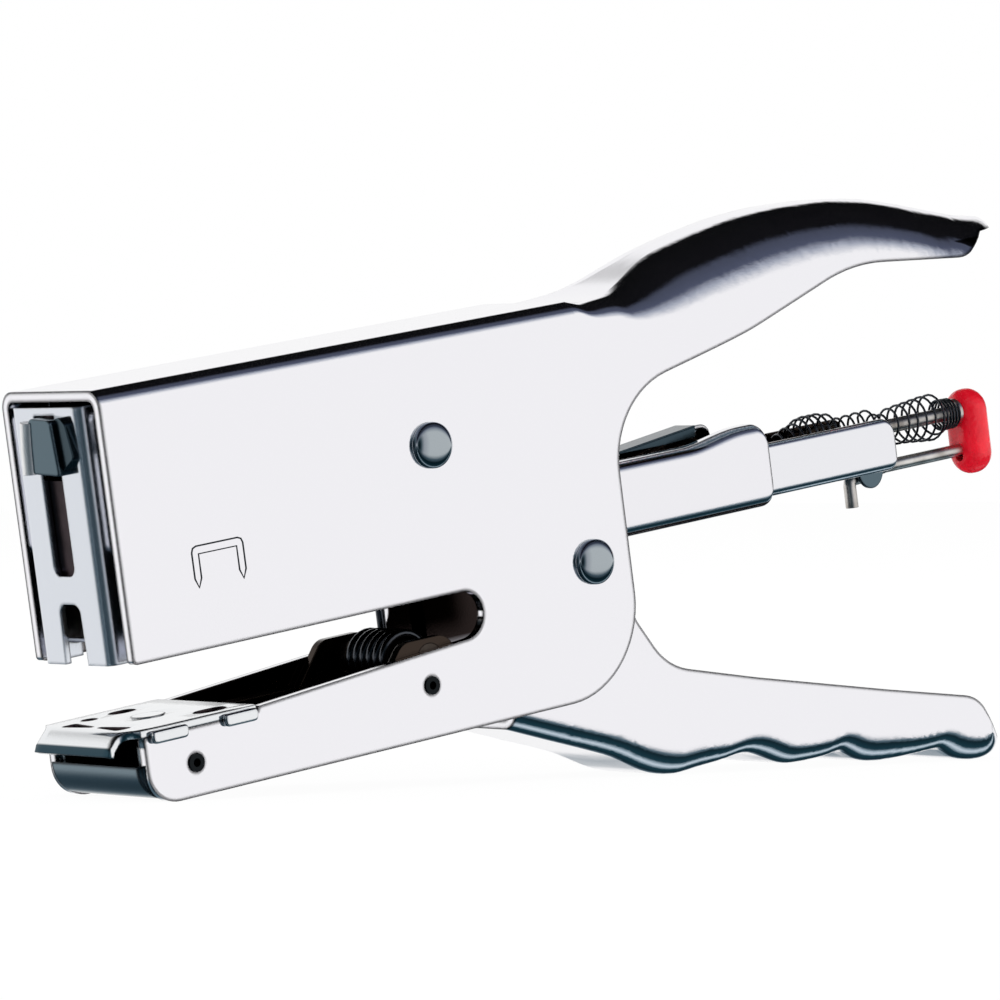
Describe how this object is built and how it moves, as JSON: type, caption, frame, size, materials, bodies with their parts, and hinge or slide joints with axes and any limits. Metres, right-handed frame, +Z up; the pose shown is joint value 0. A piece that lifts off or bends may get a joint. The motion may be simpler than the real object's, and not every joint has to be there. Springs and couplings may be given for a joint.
{
  "type": "stapling plier",
  "caption": "Chromed hand stapling plier: fixed upper handle and jaw, squeezed lower handle, sprung magazine with a pull-out rail and a red knob.",
  "frame": {"origin": "middle of the bounding box, on the surface that the tool stands on", "axes": "+X from the jaws back to the handles, +Y across the width, +Z up as the tool stands on its jaw and its lower handle; the head and magazine are pitched 9.11 degrees nose down"},
  "size_m": [0.1542, 0.0232, 0.0737],
  "materials": {
    "chromed_steel": "bright nickel-chrome plate on pressed steel",
    "nickelled_steel": "bright plate on the jaw liner",
    "satin_steel": "satin nickel plate",
    "oiled_steel": "dark oiled steel",
    "blued_steel": "hardened, blued steel",
    "gunmetal_rivet": "polished black-nickel rivets",
    "spring_wire": "black oil-tempered spring wire",
    "bare_steel": "drawn steel wire",
    "staple_wire": "galvanised wire, glued strip",
    "black_plastic": "moulded acetal",
    "red_plastic": "glossy moulded plastic with a fine grain"
  },
  "bodies": {
    "frame": {"frame_shell": "chromed_steel", "jaw_channel": "nickelled_steel", "anvil_plate": "chromed_steel", "anvil_stud": "gunmetal_rivet", "jaw_rivets": "gunmetal_rivet", "pivot_rivet": "gunmetal_rivet", "stop_rivet": "gunmetal_rivet", "stop_sleeve": "oiled_steel", "return_spring": "spring_wire", "spring_pin": "oiled_steel"},
    "lever": {"lower_handle": "chromed_steel", "hammer_bridge": "oiled_steel", "hammer_hook_near": "blued_steel", "hammer_hook_far": "blued_steel", "lever_rivets": "oiled_steel"},
    "magazine": {"magazine_tube": "chromed_steel", "front_guide": "satin_steel", "magazine_hanger": "oiled_steel", "latch_bracket": "oiled_steel", "latch_pin": "oiled_steel", "latch_spring": "spring_wire", "staple_strip": "staple_wire", "lift_springs": "spring_wire"},
    "driver": {"driver_blade": "oiled_steel"},
    "latch": {"latch_lever": "blued_steel"},
    "rail": {"staple_rail": "chromed_steel", "rail_nose": "oiled_steel", "guide_rod": "bare_steel", "lock_rod": "bare_steel", "pull_knob": "red_plastic", "pusher_spring": "spring_wire"},
    "follower": {"follower": "black_plastic"}
  },
  "joints": [
    {"name": "handle_squeeze", "type": "hinge", "parent": "frame", "child": "lever", "pos_m": [0.00067, 0, 0.02715], "axis": [0, -1, 0], "range_deg": [0, 14], "stiffness_Nm_per_rad": 1, "springref_deg": -20.05},
    {"name": "magazine_dip", "type": "hinge", "parent": "frame", "child": "magazine", "pos_m": [0.00067, 0, 0.02715], "axis": [0, -1, 0], "range_deg": [0, 5.8], "deforming": ["return_spring", "lift_springs"]},
    {"name": "driver_stroke", "type": "slide", "parent": "magazine", "child": "driver", "axis": [0.1582, 0, -0.9874], "range_m": [0, 0.01]},
    {"name": "latch_press", "type": "hinge", "parent": "magazine", "child": "latch", "pos_m": [0.00276, 0, 0.04065], "axis": [0, 1, 0], "range_deg": [0, 5], "stiffness_Nm_per_rad": 0.02, "springref_deg": -22.92, "deforming": ["latch_spring"]},
    {"name": "rail_pull", "type": "slide", "parent": "magazine", "child": "rail", "axis": [0.9874, 0, 0.1582], "range_m": [0, 0.06]},
    {"name": "follower_feed", "type": "slide", "parent": "rail", "child": "follower", "axis": [0.9874, 0, 0.1582], "range_m": [0, 0.01], "stiffness_N_per_m": 80, "springref_m": -0.04, "deforming": ["pusher_spring"]}
  ],
  "couplings": [
    {"joint": "magazine_dip", "follows": "handle_squeeze", "ratio": 0.41},
    {"joint": "driver_stroke", "follows": "handle_squeeze", "m_per_rad": 0.04072}
  ]
}
